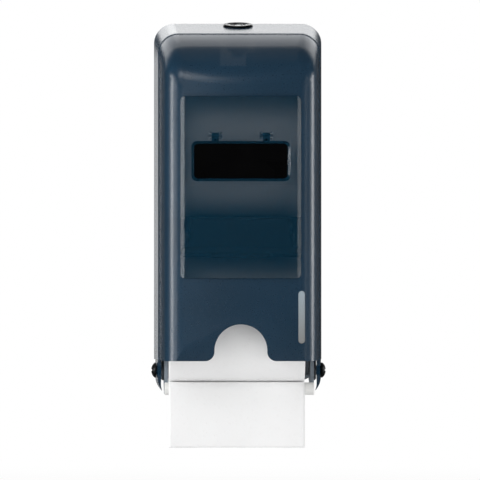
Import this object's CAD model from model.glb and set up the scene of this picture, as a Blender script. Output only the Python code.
"""Two-roll toilet paper dispenser: finishes, wound paper rolls, hanging sheet and studio."""
import math

import bmesh
import bpy
from bpy.props import FloatProperty, FloatVectorProperty, IntProperty, PointerProperty
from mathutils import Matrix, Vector


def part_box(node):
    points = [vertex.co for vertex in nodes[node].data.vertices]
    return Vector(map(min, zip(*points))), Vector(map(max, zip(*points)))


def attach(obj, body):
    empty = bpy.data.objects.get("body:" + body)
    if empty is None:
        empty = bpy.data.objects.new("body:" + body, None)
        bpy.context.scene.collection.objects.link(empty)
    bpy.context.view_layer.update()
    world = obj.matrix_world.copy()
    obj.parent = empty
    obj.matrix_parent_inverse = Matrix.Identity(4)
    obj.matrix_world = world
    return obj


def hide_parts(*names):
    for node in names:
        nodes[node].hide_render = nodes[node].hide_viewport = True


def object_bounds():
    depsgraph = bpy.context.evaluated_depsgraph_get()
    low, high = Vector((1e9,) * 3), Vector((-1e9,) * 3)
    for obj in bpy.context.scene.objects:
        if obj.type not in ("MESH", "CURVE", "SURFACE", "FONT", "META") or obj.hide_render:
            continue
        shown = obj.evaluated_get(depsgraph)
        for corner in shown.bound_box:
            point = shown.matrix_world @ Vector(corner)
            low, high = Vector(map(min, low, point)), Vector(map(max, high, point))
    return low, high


bl_info = {
    "name": "Two-roll paper dispenser",
    "version": (1, 0, 0),
    "blender": (4, 5, 0),
    "location": "3D View > Sidebar > Dispenser",
    "description": "Finishes, wound rolls, hanging sheet and studio of a wall dispenser",
    "category": "Object",
}

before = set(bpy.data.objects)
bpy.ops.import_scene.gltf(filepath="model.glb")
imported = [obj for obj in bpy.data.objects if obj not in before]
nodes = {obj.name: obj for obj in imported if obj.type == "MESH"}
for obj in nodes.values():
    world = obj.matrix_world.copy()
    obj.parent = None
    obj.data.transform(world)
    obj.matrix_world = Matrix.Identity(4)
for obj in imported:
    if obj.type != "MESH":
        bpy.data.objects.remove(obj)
cad_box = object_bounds()
MM = 0.001

# Places in the shared frame, in millimetres: X across, Y from the wall (0) to the front (below
# 0), Z up. They tell the zones of a material apart.
WINDOW_HALF_WIDTH = 50.9            # the window with its bevelled rim
WINDOW_HEIGHTS = (-59.6, 94.1)
WINDOW_CORNER = 4.0
WINDOW_BACK = -125.0                # behind this Y the cover isn't the window
LUG_FRONT = -136.8                  # the lugs lie behind this Y, the panel before it
LUG_HEIGHT, LUG_HALF_HEIGHT = 62.0, 14.0
LUG_OFFSET, LUG_HALF_WIDTH = 21.0, 8.0
COLLAR_EDGE = (-57.6, -57.0)        # where the textured front meets the collar
COLLAR_POLISH = (-112.0, -62.0)     # over this depth the sides go from matte to polished
CROWN_DEPTHS = (-124.0, -50.0)      # and over this one the crown
CROWN_HEIGHTS = (120.0, 142.0)      # over this height the sides go over into the crown
LENS_HEIGHTS = (-114.5, -70.0)


def linear(hex_colour):
    """A colour written as sRGB hex, as the linear values that shaders take."""
    parts = [int(hex_colour[i:i + 2], 16) / 255 for i in (1, 3, 5)]
    straight = [c / 12.92 if c <= 0.04045 else ((c + 0.055) / 1.055) ** 2.4 for c in parts]
    return (*straight, 1.0)


def add_node(tree, kind, settings=None, inputs=None):
    """A node with its settings. An input is a value, or the output that is linked to it."""
    made = tree.nodes.new(kind)
    for name, value in (settings or {}).items():
        setattr(made, name, value)
    for key, value in (inputs or {}).items():
        if isinstance(value, bpy.types.NodeSocket):
            tree.links.new(value, made.inputs[key])
        else:
            made.inputs[key].default_value = value
    return made


def new_material(name):
    """An empty material: its tree, its Principled shader and Object coordinates in millimetres."""
    material = bpy.data.materials.new(name)
    material.use_nodes = True
    tree = material.node_tree
    tree.nodes.clear()
    shader = add_node(tree, "ShaderNodeBsdfPrincipled")
    add_node(tree, "ShaderNodeOutputMaterial", inputs={"Surface": shader.outputs[0]})
    coordinates = add_node(tree, "ShaderNodeTexCoord")
    place = add_node(tree, "ShaderNodeVectorMath", {"operation": "SCALE"},
                     {0: coordinates.outputs["Object"], "Scale": 1 / MM})
    return material, tree, shader, place.outputs[0]


def remap(tree, value, source, target, smooth=False):
    """A value that goes over the source range, as one that goes over the target range."""
    settings = {"interpolation_type": "SMOOTHSTEP"} if smooth else None
    return add_node(tree, "ShaderNodeMapRange", settings, {
        "Value": value, "From Min": source[0], "From Max": source[1],
        "To Min": target[0], "To Max": target[1],
    }).outputs[0]


def calculate(tree, operation, *values):
    """The result of a math operation on numbers."""
    return add_node(tree, "ShaderNodeMath", {"operation": operation},
                    dict(enumerate(values))).outputs[0]


def combine(tree, operation, *values):
    """The result of a math operation on vectors."""
    made = add_node(tree, "ShaderNodeVectorMath", {"operation": operation},
                    dict(enumerate(values)))
    return made.outputs["Value" if operation == "LENGTH" else "Vector"]


def mix(tree, share, first, second, kind="RGBA"):
    """From the first to the second colour, or number with kind FLOAT, as share goes to 1."""
    start, result = {"RGBA": (6, 2), "FLOAT": (2, 0)}[kind]
    return add_node(tree, "ShaderNodeMix", {"data_type": kind},
                    {0: share, start: first, start + 1: second}).outputs[result]


def noise(tree, place, scale, detail=2.0, **more):
    """Noise at a place in millimetres. The other inputs are given by name."""
    return add_node(tree, "ShaderNodeTexNoise", None,
                    {"Vector": place, "Scale": scale, "Detail": detail, **more}).outputs[0]


def relief(tree, shader, height, strength, distance):
    """Gives the surface a relief of this height and strength."""
    made = add_node(tree, "ShaderNodeBump", None,
                    {"Strength": strength, "Distance": distance, "Height": height})
    tree.links.new(made.outputs[0], shader.inputs["Normal"])


def split(tree, place):
    """The X, Y and Z of a place."""
    return tuple(add_node(tree, "ShaderNodeSeparateXYZ", inputs={0: place}).outputs)


def times(colour, factor):
    """A linear colour times a factor, opaque and no brighter than white."""
    return (*[min(c * factor, 1.0) for c in colour[:3]], 1.0)


def give(material, *names):
    """Puts a material on every slot of these CAD nodes."""
    for name in names:
        for slot in nodes[name].material_slots:
            slot.material = material


def window_mask(tree, place):
    """1 on the polished window panel with its rounded corners and 0 elsewhere."""
    low, high = WINDOW_HEIGHTS
    centred = combine(tree, "SUBTRACT", place, (0.0, 0.0, (low + high) / 2))
    folded = combine(tree, "ABSOLUTE", centred)
    any_depth = 1000.0
    beyond = combine(tree, "SUBTRACT", folded, (
        WINDOW_HALF_WIDTH - WINDOW_CORNER, any_depth, (high - low) / 2 - WINDOW_CORNER))
    distance = combine(tree, "LENGTH", combine(tree, "MAXIMUM", beyond, (0.0, 0.0, 0.0)))
    panel = remap(tree, distance, (WINDOW_CORNER - 0.3, WINDOW_CORNER + 0.1), (1.0, 0.0))
    front = calculate(tree, "LESS_THAN", split(tree, place)[1], WINDOW_BACK)
    return calculate(tree, "MULTIPLY", panel, front)


def lug_mask(tree, place):
    """1 on the thin clear lugs that hold the push plate's pins behind the panel."""
    across, depth, height = split(tree, place)
    inside = calculate(tree, "GREATER_THAN", depth, LUG_FRONT)
    tall = calculate(tree, "COMPARE", height, LUG_HEIGHT, LUG_HALF_HEIGHT)
    wide = calculate(tree, "COMPARE", calculate(tree, "ABSOLUTE", across),
                     LUG_OFFSET, LUG_HALF_WIDTH)
    return calculate(tree, "MULTIPLY", calculate(tree, "MULTIPLY", tall, wide), inside)


def smoke_polycarbonate():
    """Tinted moulded polycarbonate: fine spark texture outside, a polished clear window."""
    cover = bpy.context.scene.dispenser_cover
    material, tree, shader, place = new_material("smoke_polycarbonate")
    _, depth, height = split(tree, place)
    window = window_mask(tree, place)

    clouds = remap(tree, noise(tree, place, 0.02), (0.3, 0.7), (0.0, 1.0))
    body = mix(tree, clouds, times(cover.body_colour, 1.0), times(cover.body_colour, 0.86))
    tint = mix(tree, window, body, times(cover.window_colour, 1.0))
    tree.links.new(tint, shader.inputs["Base Color"])

    panel = remap(tree, window, (0.0, 1.0), (cover.body_opacity, cover.window_opacity))
    lugs = remap(tree, lug_mask(tree, place), (0.0, 1.0), (1.0, cover.lug_opacity))
    tree.links.new(calculate(tree, "MULTIPLY", panel, lugs), shader.inputs["Alpha"])

    # the spark texture is a few tenths of a millimetre in life, too fine for the picture,
    # so it is drawn at about one millimetre
    grain = noise(tree, place, MM / cover.grain, 3.0, Roughness=0.6)
    collar = remap(tree, depth, COLLAR_EDGE, (0.0, 1.0))
    plain = calculate(tree, "MAXIMUM", window, collar)
    strength = remap(tree, plain, (0.0, 1.0), (cover.grain_depth, 0.0))
    relief(tree, shader, grain, strength, 0.08 * MM)

    # from matte at the front to polished at the collar, and the same over the crown
    matte = remap(tree, grain, (0.3, 0.7), (cover.roughness - 0.04, cover.roughness + 0.05))
    to_collar = remap(tree, depth, COLLAR_POLISH, (0.0, 1.0), smooth=True)
    sides = mix(tree, to_collar, matte, cover.collar_roughness, "FLOAT")
    crown = remap(tree, depth, CROWN_DEPTHS, (0.6, 0.2))
    on_top = remap(tree, height, CROWN_HEIGHTS, (0.0, 1.0), smooth=True)
    textured = mix(tree, on_top, sides, crown, "FLOAT")
    polish = remap(tree, noise(tree, place, 0.05, 4.0), (0.35, 0.7), (0.07, 0.13))
    rough = mix(tree, window, textured, polish, "FLOAT")
    tree.links.new(rough, shader.inputs["Roughness"])
    shader.inputs["IOR"].default_value = 1.5
    return material


def moulded_plastic(name, hex_colour, roughness, grain_mm, grain_depth, specular=0.5):
    """Injection-moulded plastic: an even colour with slight flow marks and a fine grain."""
    material, tree, shader, place = new_material(name)
    colour = linear(hex_colour)
    flow = noise(tree, place, 0.035, 3.0, Distortion=0.6)
    tone = mix(tree, flow, times(colour, 0.9), times(colour, 1.1))
    tree.links.new(tone, shader.inputs["Base Color"])
    relief(tree, shader, noise(tree, place, 1 / grain_mm), grain_depth, 0.1 * MM)
    wear = remap(tree, flow, (0.3, 0.7), (roughness - 0.05, roughness + 0.05))
    tree.links.new(wear, shader.inputs["Roughness"])
    shader.inputs["Specular IOR Level"].default_value = specular
    return material


def frosted_lens():
    """Clear polycarbonate with a frosted face: pale, cloudy and half see-through."""
    material, tree, shader, place = new_material("frosted_polycarbonate")
    share = remap(tree, split(tree, place)[2], LENS_HEIGHTS, (0.0, 1.0))
    tone = mix(tree, share, linear("#929291"), linear("#AAB9C2"))
    tree.links.new(tone, shader.inputs["Base Color"])
    frost = noise(tree, place, 1.6)
    relief(tree, shader, frost, 0.35, 0.05 * MM)
    rough = remap(tree, frost, (0.3, 0.7), (0.34, 0.48))
    tree.links.new(rough, shader.inputs["Roughness"])
    shader.inputs["Alpha"].default_value = 0.86
    return material


def plated_metal(name, hex_colour, roughness, grain_mm, metallic=1.0):
    """Plated metal: fine turned or rolled grain that breaks up the gloss, a little handled."""
    material, tree, shader, place = new_material(name)
    colour = linear(hex_colour)
    handled = noise(tree, place, 0.3, 4.0)
    tone = mix(tree, handled, times(colour, 0.82), colour)
    tree.links.new(tone, shader.inputs["Base Color"])
    rough = remap(tree, handled, (0.3, 0.7), (roughness, roughness + 0.12))
    tree.links.new(rough, shader.inputs["Roughness"])
    relief(tree, shader, noise(tree, place, 1 / grain_mm), 0.15, 0.03 * MM)
    shader.inputs["Metallic"].default_value = metallic
    return material


def embossed_tissue():
    """Embossed two-ply tissue: matte white fibre pressed with a lattice of small dimples."""
    paper = bpy.context.scene.dispenser_paper
    material, tree, shader, place = new_material("embossed_tissue")
    uv = add_node(tree, "ShaderNodeUVMap", {"uv_map": "paper"})
    turned = add_node(tree, "ShaderNodeMapping", None, {
        "Vector": uv.outputs[0], "Rotation": (0.0, 0.0, math.radians(45)),
        "Scale": (1 / paper.emboss_pitch, 1 / paper.emboss_pitch, 1.0),
    })
    dimples = add_node(tree, "ShaderNodeTexVoronoi",
                       {"feature": "F1", "distance": "EUCLIDEAN"},
                       {"Vector": turned.outputs[0], "Scale": 1.0, "Randomness": 0.75})
    pressed = remap(tree, dimples.outputs["Distance"], (0.12, 0.36), (0.0, 1.0), smooth=True)
    fibre = noise(tree, place, 1.4, 5.0, Roughness=0.65)
    height = calculate(tree, "MULTIPLY_ADD", fibre, 0.35, pressed)
    relief(tree, shader, height, 0.4, paper.emboss_depth)
    tone = mix(tree, pressed, times(paper.colour, 0.985), times(paper.colour, 1.0))
    tree.links.new(tone, shader.inputs["Base Color"])
    for socket, value in (("Roughness", 0.92), ("Specular IOR Level", 0.2),
                          ("Sheen Weight", 0.12), ("Sheen Roughness", 0.6)):
        shader.inputs[socket].default_value = value
    return material


def cut_tissue():
    """The cut ends of wound tissue: soft edges of the layers, a little greyer in the gaps."""
    paper = bpy.context.scene.dispenser_paper
    material, tree, shader, place = new_material("cut_tissue")
    fibre = noise(tree, place, 1.1, 5.0, Roughness=0.7)
    tone = mix(tree, fibre, times(paper.colour, 0.82), times(paper.colour, 0.97))
    tree.links.new(tone, shader.inputs["Base Color"])
    relief(tree, shader, fibre, 0.5, 0.15 * MM)
    shader.inputs["Roughness"].default_value = 0.95
    shader.inputs["Specular IOR Level"].default_value = 0.2
    return material


def wound_cardboard():
    """Spiral-wound grey board: recycled fibre flecks and one helical seam."""
    material, tree, shader, place = new_material("wound_cardboard")
    flecks = noise(tree, place, 0.9, 6.0, Roughness=0.7)
    tone = mix(tree, flecks, linear("#8E7A63"), linear("#B5A288"))
    seam = add_node(tree, "ShaderNodeTexWave",
                    {"wave_type": "BANDS", "bands_direction": "X", "wave_profile": "SAW"},
                    {"Vector": place, "Scale": 0.012, "Distortion": 0.0})
    step = remap(tree, seam.outputs[1], (0.0, 0.04), (0.6, 1.0))
    dark = mix(tree, step, linear("#6F5E4A"), tone)
    tree.links.new(dark, shader.inputs["Base Color"])
    relief(tree, shader, flecks, 0.4, 0.1 * MM)
    shader.inputs["Roughness"].default_value = 0.9
    return material


def finished_mesh(name, vertices, faces, uvs, material, smooth=True):
    """A mesh object from plain lists. uvs gives one place for each corner of each face."""
    mesh = bpy.data.meshes.new(name)
    mesh.from_pydata([tuple(v) for v in vertices], [], faces)
    mesh.materials.append(material)
    if uvs is not None:
        layer = mesh.uv_layers.new(name="paper")
        for loop, uv in zip(layer.data, (uv for face in uvs for uv in face)):
            loop.uv = uv
    mesh.validate()
    made = bpy.data.objects.new(name, mesh)
    bpy.context.scene.collection.objects.link(made)
    if smooth:
        mesh.shade_smooth()
    return made


def roll_section(half, radius, bore, corner, ring_pitch, ring_depth):
    """Half section of a wound roll as (x, radius, is_end) points, once round the outline."""
    face_steps, corner_steps = 28, 4
    points = []
    for i in range(face_steps + 1):
        x = -half + corner + (2 * half - 2 * corner) * i / face_steps
        points.append((x, radius, False))
    rounded = []
    for i in range(1, corner_steps + 1):
        a = math.radians(90 * i / corner_steps)
        rounded.append((half - corner + corner * math.sin(a),
                        radius - corner + corner * math.cos(a), i == corner_steps))
    rings = int((radius - corner - bore) / ring_pitch)
    ends = []
    for i in range(1, 2 * rings):
        r = radius - corner - (radius - corner - bore) * i / (2 * rings)
        ends.append((half - (ring_depth if i % 2 else 0.0), r, True))
    right = rounded + ends + [(half, bore, True)]
    return points + right + [(-x, r, is_end) for x, r, is_end in reversed(right)]


def wound_roll(name, node, tail_angle, seed, paper_material, end_material):
    """One roll's paper: a spiral outer layer that steps at its tail, soft corners, ringed ends."""
    low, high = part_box(node)
    middle = [(a + b) / 2 for a, b in zip(low, high)]
    half = (high[0] - low[0]) / 2
    radius = (high[2] - low[2]) / 2
    paper = bpy.context.scene.dispenser_paper
    section = roll_section(half, radius, paper.core_radius, paper.corner, paper.ring_pitch,
                           paper.ring_depth)
    turns = 192
    vertices, faces, uvs = [], [], []
    count = len(section)
    for k in range(turns + 1):
        share = k / turns
        angle = tail_angle + 2 * math.pi * share
        for x, r, _ in section:
            # the outermost layer steps in towards its tail and waves a little
            outer = max(0.0, (r - paper.core_radius) / (radius - paper.core_radius))
            sag = paper.layer * share * outer
            loose = paper.looseness * outer * (
                0.5 + 0.5 * math.sin(3 * angle + seed + 40 * x) * math.sin(5 * angle + 2 * seed))
            reach = r - sag - loose
            vertices.append((middle[0] + x, middle[1] + reach * math.cos(angle),
                             middle[2] + reach * math.sin(angle)))
    along = [0.0]
    for (x0, r0, _), (x1, r1, _) in zip(section, section[1:] + section[:1]):
        along.append(along[-1] + math.hypot(x1 - x0, r1 - r0))
    ends = []
    for k in range(turns):
        for j in range(count):
            n = (j + 1) % count
            a, b = k * count + j, k * count + n
            faces.append((a, b, b + count, a + count))
            v0, v1 = radius * 2 * math.pi * k / turns, radius * 2 * math.pi * (k + 1) / turns
            uvs.append([(along[j], v0), (along[j + 1], v0), (along[j + 1], v1), (along[j], v1)])
            ends.append(section[j][2] and section[n][2])
    # the last turn joins the first in the step of the tail
    for j in range(count):
        n = (j + 1) % count
        a, b = turns * count + j, turns * count + n
        faces.append((a, b, n, j))
        uvs.append([(along[j], 0.0), (along[j + 1], 0.0), (along[j + 1], 0.0), (along[j], 0.0)])
        ends.append(True)
    made = finished_mesh(name, vertices, faces, uvs, paper_material)
    made.data.materials.append(end_material)
    for face, is_end in zip(made.data.polygons, ends):
        face.material_index = 1 if is_end else 0
    edit = bmesh.new()
    edit.from_mesh(made.data)
    bmesh.ops.recalc_face_normals(edit, faces=edit.faces)
    edit.to_mesh(made.data)
    edit.free()
    sharpen(made, 50)
    return made


def sharpen(target, degrees):
    """Smooth shading that stays crisp where faces meet at more than this angle."""
    edit = bmesh.new()
    edit.from_mesh(target.data)
    for edge in edit.edges:
        edge.smooth = edge.calc_face_angle(0.0) < math.radians(degrees)
    for face in edit.faces:
        face.smooth = True
    edit.to_mesh(target.data)
    edit.free()


def new_group(name, sockets):
    """A geometry node tree with these inputs, and the outputs that give their values."""
    tree = bpy.data.node_groups.new(name, "GeometryNodeTree")
    tree.interface.new_socket("Geometry", in_out="OUTPUT", socket_type="NodeSocketGeometry")
    for label, kind in sockets.items():
        tree.interface.new_socket(label, in_out="INPUT", socket_type="NodeSocket" + kind)
    return tree, add_node(tree, "NodeGroupInput").outputs


def close_group(tree, geometry, material):
    """Ends a geometry node tree with plain geometry in one material."""
    whole = add_node(tree, "GeometryNodeRealizeInstances", None, {0: geometry})
    painted = add_node(tree, "GeometryNodeSetMaterial", None,
                       {"Geometry": whole.outputs[0], "Material": material})
    add_node(tree, "NodeGroupOutput", None, {0: painted.outputs[0]})
    return tree


def end_layer_tree():
    """Geometry nodes for the raised edges of the paper layers: one spiral on each roll end."""
    tree, given = new_group("wound_layer_edges", {
        "Inner radius": "Float", "Outer radius": "Float", "Turns": "Float",
        "Edge radius": "Float", "Half width": "Float", "Centre": "Vector",
        "Material": "Material",
    })
    spiral = add_node(tree, "GeometryNodeCurveSpiral", None, {
        "Resolution": 72, "Rotations": given["Turns"], "Start Radius": given["Inner radius"],
        "End Radius": given["Outer radius"], "Height": 0.0,
    })
    profile = add_node(tree, "GeometryNodeCurvePrimitiveCircle", None,
                       {"Resolution": 4, "Radius": given["Edge radius"]})
    ridge = add_node(tree, "GeometryNodeCurveToMesh", None,
                     {"Curve": spiral.outputs[0], "Profile Curve": profile.outputs[0],
                      "Fill Caps": True})
    joined = add_node(tree, "GeometryNodeJoinGeometry")
    for sign in (1.0, -1.0):
        shift = calculate(tree, "MULTIPLY", given["Half width"], sign)
        offset = add_node(tree, "ShaderNodeCombineXYZ", None, {"X": shift})
        moved = add_node(tree, "GeometryNodeTransform", None, {
            "Geometry": ridge.outputs[0],
            "Translation": combine(tree, "ADD", given["Centre"], offset.outputs[0]),
            "Rotation": (0.0, sign * math.pi / 2, 0.0),
        })
        tree.links.new(moved.outputs[0], joined.inputs[0])
    return close_group(tree, joined.outputs[0], given["Material"])


def torn_edge_tree():
    """Geometry nodes for the small tabs that a torn perforation leaves along an edge."""
    tree, given = new_group("torn_perforation", {
        "Start": "Vector", "Spacing": "Float", "Count": "Int", "Tab size": "Vector",
        "Material": "Material",
    })
    step = add_node(tree, "ShaderNodeCombineXYZ", None, {"X": given["Spacing"]})
    line = add_node(tree, "GeometryNodeMeshLine", {"mode": "OFFSET"}, {
        "Count": given["Count"], "Start Location": given["Start"], "Offset": step.outputs[0],
    })
    tab = add_node(tree, "GeometryNodeMeshCube", None, {"Size": given["Tab size"]})
    vary = add_node(tree, "FunctionNodeRandomValue", {"data_type": "FLOAT_VECTOR"}, {
        0: (0.6, 1.0, 0.3), 1: (1.1, 1.0, 1.0), "Seed": 7,
    })
    tabs = add_node(tree, "GeometryNodeInstanceOnPoints", None, {
        "Points": line.outputs[0], "Instance": tab.outputs[0], "Scale": vary.outputs[0],
    })
    return close_group(tree, tabs.outputs[0], given["Material"])


def grown(name, tree, values):
    """The plain mesh that a node tree makes with these input values."""
    seed = bpy.data.objects.new(name + "_seed", bpy.data.meshes.new(name + "_seed"))
    bpy.context.scene.collection.objects.link(seed)
    modifier = seed.modifiers.new("nodes", "NODES")
    modifier.node_group = tree
    for item in tree.interface.items_tree:
        if item.in_out == "INPUT" and item.name in values:
            modifier[item.identifier] = values[item.name]
    evaluated = seed.evaluated_get(bpy.context.evaluated_depsgraph_get())
    mesh = bpy.data.meshes.new_from_object(evaluated)
    seed.modifiers.remove(modifier)
    bpy.data.objects.remove(seed)
    mesh.name = name
    made = bpy.data.objects.new(name, mesh)
    bpy.context.scene.collection.objects.link(made)
    return made


def sheet_path(low, paper):
    """Side view of the sheet as (y, z) points, with the bar's height and the drop below it."""
    bar_low, bar_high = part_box("roll_rest_bar")
    roll_low, roll_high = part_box("lower_roll_paper")
    bar_radius = (bar_high[2] - bar_low[2]) / 2
    bar_y, bar_z = bar_low[1] + bar_radius, (bar_high[2] + bar_low[2]) / 2
    roll_y, roll_z = (roll_low[1] + roll_high[1]) / 2, (roll_low[2] + roll_high[2]) / 2
    roll_reach = (roll_high[2] - roll_low[2]) / 2 + paper.sheet_gap
    bar_reach = bar_radius + paper.sheet_gap
    line = math.atan2(roll_z - bar_z, roll_y - bar_y)
    drop = bar_z - low[2]
    lap_steps, bend_steps, hang_steps = 10, 12, 26
    path = []
    for i in range(lap_steps + 1):
        angle = line + math.pi + math.radians(paper.lap_angle) * (1 - i / lap_steps)
        path.append((roll_y + roll_reach * math.cos(angle), roll_z + roll_reach * math.sin(angle)))
    for i in range(1, bend_steps + 1):
        angle = line + (math.pi - line) * i / bend_steps
        path.append((bar_y + bar_reach * math.cos(angle), bar_z + bar_reach * math.sin(angle)))
    for i in range(1, hang_steps + 1):
        path.append((bar_y - bar_radius - paper.sheet_gap, bar_z - drop * i / hang_steps))
    return path, bar_z, drop


def hanging_paper(material):
    """The sheet: lies under the roll, bends over the rest bar and hangs with a soft ripple."""
    paper = bpy.context.scene.dispenser_paper
    low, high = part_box("hanging_sheet")
    path, bar_z, drop = sheet_path(low, paper)
    columns = 60
    width = high[0] - low[0]
    vertices, faces, uvs, lengths = [], [], [], [0.0]
    for a, b in zip(path, path[1:]):
        lengths.append(lengths[-1] + math.dist(a, b))
    for y, z in path:
        free = max(0.0, (bar_z - z) / drop)
        for j in range(columns + 1):
            across = j / columns
            wave = paper.ripple * free ** 1.5 * (
                math.sin(2.3 * math.pi * across + 0.7)
                + 0.4 * math.sin(5.1 * math.pi * across + 2.0 * free))
            vertices.append((low[0] + width * across, y - wave, z))
    for i in range(len(path) - 1):
        for j in range(columns):
            a = i * (columns + 1) + j
            faces.append((a, a + 1, a + columns + 2, a + columns + 1))
            u0, u1 = width * j / columns, width * (j + 1) / columns
            uvs.append([(u0, lengths[i]), (u1, lengths[i]), (u1, lengths[i + 1]),
                        (u0, lengths[i + 1])])
    sheet = finished_mesh("hanging_paper", vertices, faces, uvs, material)
    thick = sheet.modifiers.new("thickness", "SOLIDIFY")
    thick.thickness = paper.thickness
    thick.offset = 0.0
    return sheet, width, lengths[-1]


class DispenserCoverSettings(bpy.types.PropertyGroup):
    """Sizes and colours of the smoke cover."""
    body_colour: FloatVectorProperty(
        name="Body colour", description="Colour of the textured part of the cover",
        subtype="COLOR", min=0.0, max=1.0, default=linear("#1B394F")[:3])
    window_colour: FloatVectorProperty(
        name="Window colour", description="Tint of the polished window panel",
        subtype="COLOR", min=0.0, max=1.0, default=linear("#0F3549")[:3])
    body_opacity: FloatProperty(
        name="Body opacity", description="How little shows through one textured face",
        subtype="FACTOR", min=0.0, max=1.0, default=0.9)
    window_opacity: FloatProperty(
        name="Window opacity", description="How little shows through one polished face",
        subtype="FACTOR", min=0.0, max=1.0, default=0.455)
    lug_opacity: FloatProperty(
        name="Lug opacity", description="Opacity of the lugs behind the window, as a share",
        subtype="FACTOR", min=0.0, max=1.0, default=0.25)
    grain: FloatProperty(
        name="Grain", description="Width of the moulded texture's grain",
        subtype="DISTANCE", unit="LENGTH", default=1.0 * MM)
    grain_depth: FloatProperty(
        name="Grain depth", description="Strength of the moulded texture",
        subtype="FACTOR", min=0.0, max=1.0, default=0.55)
    roughness: FloatProperty(
        name="Roughness", description="Roughness of the textured part",
        subtype="FACTOR", min=0.0, max=1.0, default=0.3)
    collar_roughness: FloatProperty(
        name="Collar roughness", description="Roughness of the smoother collar next to the wall",
        subtype="FACTOR", min=0.0, max=1.0, default=0.1)


class DispenserPaperSettings(bpy.types.PropertyGroup):
    """Sizes and colour of the rolls and the hanging sheet."""
    colour: FloatVectorProperty(
        name="Paper colour", description="Colour of the tissue", subtype="COLOR",
        min=0.0, max=1.0, default=linear("#F8F8F8")[:3])
    emboss_pitch: FloatProperty(
        name="Emboss pitch", description="Distance between two pressed dimples",
        unit="LENGTH", default=3.2 * MM)
    emboss_depth: FloatProperty(
        name="Emboss depth", description="Depth of the dimples", unit="LENGTH",
        default=0.25 * MM)
    core_radius: FloatProperty(
        name="Core radius", description="Outer radius of the cardboard core", unit="LENGTH",
        default=21.03 * MM)
    corner: FloatProperty(
        name="Corner", description="Radius of the roll's soft corner", unit="LENGTH",
        default=1.1 * MM)
    ring_pitch: FloatProperty(
        name="Ring pitch", description="Distance between grooves on the roll's ends",
        unit="LENGTH", default=1.7 * MM)
    ring_depth: FloatProperty(
        name="Ring depth", description="Depth of the grooves on the roll's ends",
        unit="LENGTH", default=0.25 * MM)
    layer: FloatProperty(
        name="Tail step", description="Step where the outer layer ends", unit="LENGTH",
        default=0.3 * MM)
    looseness: FloatProperty(
        name="Looseness", description="How far the outer layer waves", unit="LENGTH",
        default=0.35 * MM)
    thickness: FloatProperty(
        name="Sheet thickness", description="Thickness of the tissue", unit="LENGTH",
        default=0.16 * MM)
    sheet_gap: FloatProperty(
        name="Sheet gap", description="Middle of the sheet above the bar or roll that it lies on",
        unit="LENGTH", default=0.45 * MM)
    lap_angle: FloatProperty(
        name="Lap angle", description="How far the sheet lies round the roll, in degrees",
        default=14.0)
    ripple: FloatProperty(
        name="Ripple", description="Height of the hanging sheet's waves", unit="LENGTH",
        default=0.7 * MM)
    tab_spacing: FloatProperty(
        name="Tab spacing", description="Distance between the tabs of the torn edge",
        unit="LENGTH", default=1.9 * MM)
    tab_height: FloatProperty(
        name="Tab height", description="Height of the tabs of the torn edge", unit="LENGTH",
        default=0.8 * MM)
    layer_edge: FloatProperty(
        name="Layer edge", description="Radius of the raised layer edge on a roll's end",
        unit="LENGTH", default=0.16 * MM)
    layer_turns: IntProperty(
        name="Layer turns", description="Turns of the raised layer edge on a roll's end",
        default=16)


class DispenserStudioSettings(bpy.types.PropertyGroup):
    """Camera and lamps."""
    distance: FloatProperty(
        name="Camera distance", description="From the camera to the object", unit="LENGTH",
        default=14.5)
    azimuth: FloatProperty(
        name="Azimuth", description="Camera angle to the right of the front, in degrees",
        default=-1.15)
    elevation: FloatProperty(
        name="Elevation", description="Camera angle above the horizon, in degrees",
        default=0.4)
    picture_width: FloatProperty(
        name="Picture width", description="Width that the picture shows at the rolls",
        unit="LENGTH", default=0.4055)
    centre_x: FloatProperty(
        name="Centre X", description="Middle of the picture", unit="LENGTH", default=0.0)
    centre_z: FloatProperty(
        name="Centre Z", description="Middle of the picture", unit="LENGTH", default=-0.0275)
    floor_gap: FloatProperty(
        name="Floor gap", description="From the lowest piece down to the floor", unit="LENGTH",
        default=0.045)
    ambient: FloatProperty(
        name="Ambient", description="World light on the object", default=0.63)
    card: FloatProperty(
        name="Card", description="What gloss sees of the white card behind the object",
        default=0.7)
    card_slant: FloatProperty(
        name="Card slant", description="Direction to the middle of the card, as X over Y",
        default=-0.064)
    card_reach: FloatProperty(
        name="Card reach", description="Half of the card's width, as X over Y", default=0.063)
    room: FloatProperty(
        name="Room", description="What gloss sees of the room behind the camera", default=0.03)


class DISPENSER_OT_cover(bpy.types.Operator):
    """Gives the hinged cover its smoke plastic and the level strip its frosted lens"""
    bl_idname = "dispenser.cover"
    bl_label = "Cover"

    def execute(self, context):
        give(smoke_polycarbonate(), "cover_shell")
        give(frosted_lens(), "level_window")
        return {"FINISHED"}


class DISPENSER_OT_housing(bpy.types.Operator):
    """Gives the back housing, shelf and front beam their grained grey plastic"""
    bl_idname = "dispenser.housing"
    bl_label = "Housing and shelf"

    def execute(self, context):
        grey = moulded_plastic("grained_grey_abs", "#7B858E", 0.5, 0.8, 0.35)
        shelf = moulded_plastic("grained_dark_abs", "#1C1E1F", 0.42, 0.8, 0.3)
        give(grey, "back_housing")
        give(shelf, "roll_shelf", "shelf_front_beam")
        return {"FINISHED"}


class DISPENSER_OT_plate(bpy.types.Operator):
    """Gives the push plate its smooth black plastic"""
    bl_idname = "dispenser.plate"
    bl_label = "Push plate"

    def execute(self, context):
        give(moulded_plastic("smooth_black_abs", "#030304", 0.3, 0.5, 0.08, 0.1), "push_plate")
        return {"FINISHED"}


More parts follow.
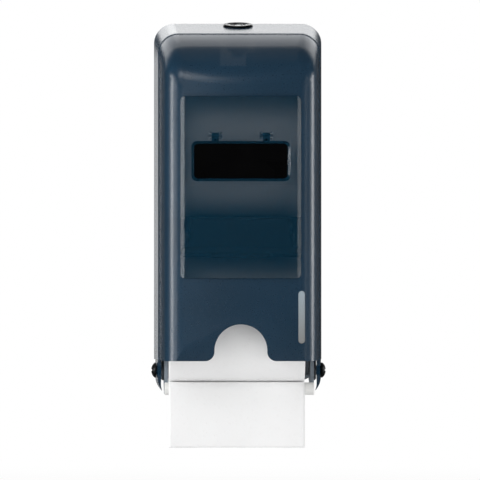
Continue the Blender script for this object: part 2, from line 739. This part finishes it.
class DISPENSER_OT_bar(bpy.types.Operator):
    """Gives the rest bar and the hinge washers their smooth white plastic"""
    bl_idname = "dispenser.bar"
    bl_label = "Rest bar and washers"

    def execute(self, context):
        give(moulded_plastic("white_acetal", "#ECECEA", 0.32, 0.7, 0.1),
             "roll_rest_bar", "pivot_washers")
        return {"FINISHED"}


class DISPENSER_OT_metal(bpy.types.Operator):
    """Gives the lock, screws, pins and keeper their plated metals"""
    bl_idname = "dispenser.metal"
    bl_label = "Lock and fasteners"

    def execute(self, context):
        give(plated_metal("polished_zinc", "#C9CACB", 0.14, 0.4), "lock_body", "lock_plug")
        give(plated_metal("black_nickel", "#2A2C2F", 0.24, 0.4), "lock_bezel")
        give(plated_metal("zinc_plated_steel", "#B4B7B8", 0.28, 0.6),
             "lock_nut", "lock_cam", "cam_screw", "lock_keeper", "keeper_screws",
             "plate_hinge_pins", "shelf_hinge_pin", "beam_screws")
        give(plated_metal("black_oxide_steel", "#1B1D20", 0.34, 0.5, 0.6), "pivot_screws")
        return {"FINISHED"}


class DISPENSER_OT_rolls(bpy.types.Operator):
    """Winds the two rolls of paper and gives their cores grey board"""
    bl_idname = "dispenser.rolls"
    bl_label = "Paper rolls"

    def execute(self, context):
        paper = context.scene.dispenser_paper
        tissue, ends = embossed_tissue(), cut_tissue()
        tree = end_layer_tree()
        give(wound_cardboard(), "lower_roll_core", "reserve_roll_core")
        for body, tail, seed in (("lower_roll", -1.9, 0.4), ("reserve_roll", -2.6, 2.1)):
            node = body + "_paper"
            roll = wound_roll(body + "_wound", node, tail, seed, tissue, ends)
            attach(roll, body)
            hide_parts(node)
            low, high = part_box(node)
            layers = grown(body + "_layers", tree, {
                "Inner radius": paper.core_radius + 1.2 * MM,
                "Outer radius": (high[2] - low[2]) / 2 - 2.4 * MM,
                "Turns": float(paper.layer_turns),
                "Edge radius": paper.layer_edge,
                "Half width": (high[0] - low[0]) / 2 - paper.layer_edge,
                "Centre": [(a + b) / 2 for a, b in zip(low, high)],
                "Material": ends,
            })
            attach(layers, body)
        return {"FINISHED"}


class DISPENSER_OT_sheet(bpy.types.Operator):
    """Hangs the loose sheet over the rest bar, with the torn edge at its bottom"""
    bl_idname = "dispenser.sheet"
    bl_label = "Hanging sheet"

    def execute(self, context):
        paper = context.scene.dispenser_paper
        tissue = bpy.data.materials["embossed_tissue"]
        sheet, width, length = hanging_paper(tissue)
        low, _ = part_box("hanging_sheet")
        torn = grown("torn_perforation", torn_edge_tree(), {
            "Start": (low[0] + paper.tab_spacing / 2, low[1], low[2]),
            "Spacing": paper.tab_spacing,
            "Count": int(width / paper.tab_spacing),
            "Tab size": (0.7 * paper.tab_spacing, paper.thickness, paper.tab_height),
            "Material": tissue,
        })
        for piece in (sheet, torn):
            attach(piece, "housing")
        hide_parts("hanging_sheet")
        return {"FINISHED"}


class DISPENSER_OT_studio(bpy.types.Operator):
    """Sets up the pale floor, the white surroundings, the lamps and the camera"""
    bl_idname = "dispenser.studio"
    bl_label = "Studio"

    def execute(self, context):
        scene = context.scene
        studio = scene.dispenser_studio
        build_floor(cad_box[0][2] - studio.floor_gap, studio)
        build_world(scene, studio)
        for lamp in LAMPS:
            add_lamp(*lamp)
        build_camera(scene, studio)
        scene.view_settings.view_transform = "Standard"
        return {"FINISHED"}


# name, place, aim, width and height, watts, and whether the lamp shows in gloss
LAMPS = (
    ("key", (-0.9, -2.0, 0.85), (0, 0, -0.05), (1.0, 1.0), 13.5, True),
    ("fill", (0.9, -2.1, -0.4), (0, 0, -0.1), (1.0, 0.6), 12.5, False),
    ("left_box", (-1.5, -0.16, 0.0), (0, -0.1, 0.0), (0.25, 0.5), 7.2, True),
    ("right_box", (1.42, 0.5, 0.0), (0, -0.1, 0.0), (0.4, 0.5), 5.2, True),
    ("left_glint", (-1.62, -0.77, 0.0), (0, -0.1, 0.0), (0.16, 0.6), 2.2, True),
    ("right_glint", (1.65, -0.71, 0.0), (0, -0.1, 0.0), (0.16, 0.6), 1.0, True),
    ("top_back", (0.0, 1.85, 0.76), (0, 0, 0.15), (2.2, 0.6), 7.6, True),
)


def add_lamp(name, place, aim, size, power, in_gloss):
    """A soft rectangular lamp that the camera doesn't see."""
    light = bpy.data.lights.new(name, "AREA")
    light.shape = "RECTANGLE"
    light.size, light.size_y = size
    light.energy = power
    lamp = bpy.data.objects.new(name, light)
    lamp.location = place
    lamp.rotation_euler = (Vector(aim) - Vector(place)).to_track_quat("-Z", "Y").to_euler()
    lamp.visible_camera = False
    lamp.visible_glossy = in_gloss
    bpy.context.scene.collection.objects.link(lamp)


def seen_in_gloss(tree, place, studio):
    """What gloss sees of the surroundings: a dim room with a white card behind, on the left."""
    x, y, _ = split(tree, place)
    inside = calculate(tree, "COMPARE", calculate(tree, "DIVIDE", x, y),
                       studio.card_slant, studio.card_reach)
    card = calculate(tree, "MULTIPLY", inside, calculate(tree, "GREATER_THAN", y, 0.0))
    return mix(tree, card, studio.room, studio.card, "FLOAT")


def build_floor(height, studio):
    """A wide pale floor. The camera sees it near white, and the object's shadow stays."""
    reach = 90.0
    corners = [(x * reach, y * reach, height) for x, y in ((-1, -1), (1, -1), (1, 1), (-1, 1))]
    material = bpy.data.materials.new("studio_floor")
    material.use_nodes = True
    tree = material.node_tree
    tree.nodes.clear()
    matte = add_node(tree, "ShaderNodeBsdfDiffuse", None, {"Color": linear("#F2F2F2")})
    path = add_node(tree, "ShaderNodeLightPath")
    place = add_node(tree, "ShaderNodeTexCoord").outputs["Object"]
    in_gloss = path.outputs["Is Glossy Ray"]
    strength = mix(tree, in_gloss, 1.0, seen_in_gloss(tree, place, studio), "FLOAT")
    glow = add_node(tree, "ShaderNodeEmission", None, {"Strength": strength})
    fade = remap(tree, combine(tree, "LENGTH", place), (0.3, 1.6), (0.8, 1.0), smooth=True)
    share = calculate(tree, "MULTIPLY_ADD", path.outputs["Is Camera Ray"], fade, in_gloss)
    blend = add_node(tree, "ShaderNodeMixShader", None,
                     {0: share, 1: matte.outputs[0], 2: glow.outputs[0]})
    add_node(tree, "ShaderNodeOutputMaterial", None, {"Surface": blend.outputs[0]})
    floor = finished_mesh("studio_floor", corners, [(0, 1, 2, 3)], None, material, smooth=False)


def build_world(scene, studio):
    """White surroundings: full strength where they are seen, dimmer as light on the object."""
    world = bpy.data.worlds.new("studio_white")
    world.use_nodes = True
    tree = world.node_tree
    tree.nodes.clear()
    path = add_node(tree, "ShaderNodeLightPath").outputs
    direction = add_node(tree, "ShaderNodeTexCoord").outputs["Generated"]
    light = mix(tree, path["Is Glossy Ray"], studio.ambient,
                seen_in_gloss(tree, direction, studio), "FLOAT")
    seen = calculate(tree, "MAXIMUM", path["Is Camera Ray"], path["Is Transmission Ray"])
    strength = mix(tree, seen, light, 1.0, "FLOAT")
    sky = add_node(tree, "ShaderNodeBackground", None,
                   {"Color": (1, 1, 1, 1), "Strength": strength})
    add_node(tree, "ShaderNodeOutputWorld", None, {"Surface": sky.outputs[0]})
    scene.world = world


def build_camera(scene, studio):
    """The camera at the photograph's angle, for a square picture."""
    camera_data = bpy.data.cameras.new("camera")
    camera_data.sensor_width = 36.0
    camera_data.lens = camera_data.sensor_width * studio.distance / studio.picture_width
    camera_data.clip_end = 200.0
    camera = bpy.data.objects.new("camera", camera_data)
    turn, rise = math.radians(studio.azimuth), math.radians(studio.elevation)
    aim = Vector((studio.centre_x, -0.1, studio.centre_z))
    away = Vector((math.sin(turn) * math.cos(rise), -math.cos(turn) * math.cos(rise),
                   math.sin(rise)))
    camera.location = aim + away * studio.distance
    camera.rotation_euler = (-away).to_track_quat("-Z", "Y").to_euler()
    scene.collection.objects.link(camera)
    scene.camera = camera


class DISPENSER_PT_panel(bpy.types.Panel):
    """Lists the settings and the steps that build the dispenser"""
    bl_idname = "DISPENSER_PT_panel"
    bl_label = "Paper dispenser"
    bl_space_type = "VIEW_3D"
    bl_region_type = "UI"
    bl_category = "Dispenser"

    def draw(self, context):
        for group in (context.scene.dispenser_cover, context.scene.dispenser_paper,
                      context.scene.dispenser_studio):
            box = self.layout.box()
            for name in group.__annotations__:
                box.prop(group, name)
        for operator in STEPS:
            self.layout.operator(operator.bl_idname)


STEPS = (
    DISPENSER_OT_cover, DISPENSER_OT_housing, DISPENSER_OT_plate, DISPENSER_OT_bar,
    DISPENSER_OT_metal, DISPENSER_OT_rolls, DISPENSER_OT_sheet, DISPENSER_OT_studio,
)
GROUPS = (
    (DispenserCoverSettings, "dispenser_cover"),
    (DispenserPaperSettings, "dispenser_paper"),
    (DispenserStudioSettings, "dispenser_studio"),
)


def register():
    for group, name in GROUPS:
        bpy.utils.register_class(group)
        setattr(bpy.types.Scene, name, PointerProperty(type=group))
    for cls in (*STEPS, DISPENSER_PT_panel):
        bpy.utils.register_class(cls)


def unregister():
    for cls in reversed((*STEPS, DISPENSER_PT_panel)):
        bpy.utils.unregister_class(cls)
    for group, name in reversed(GROUPS):
        delattr(bpy.types.Scene, name)
        bpy.utils.unregister_class(group)


def main():
    """Builds every piece and the studio."""
    register()
    bpy.ops.dispenser.cover()
    bpy.ops.dispenser.housing()
    bpy.ops.dispenser.plate()
    bpy.ops.dispenser.bar()
    bpy.ops.dispenser.metal()
    bpy.ops.dispenser.rolls()
    bpy.ops.dispenser.sheet()
    bpy.ops.dispenser.studio()


if __name__ == "__main__":
    main()
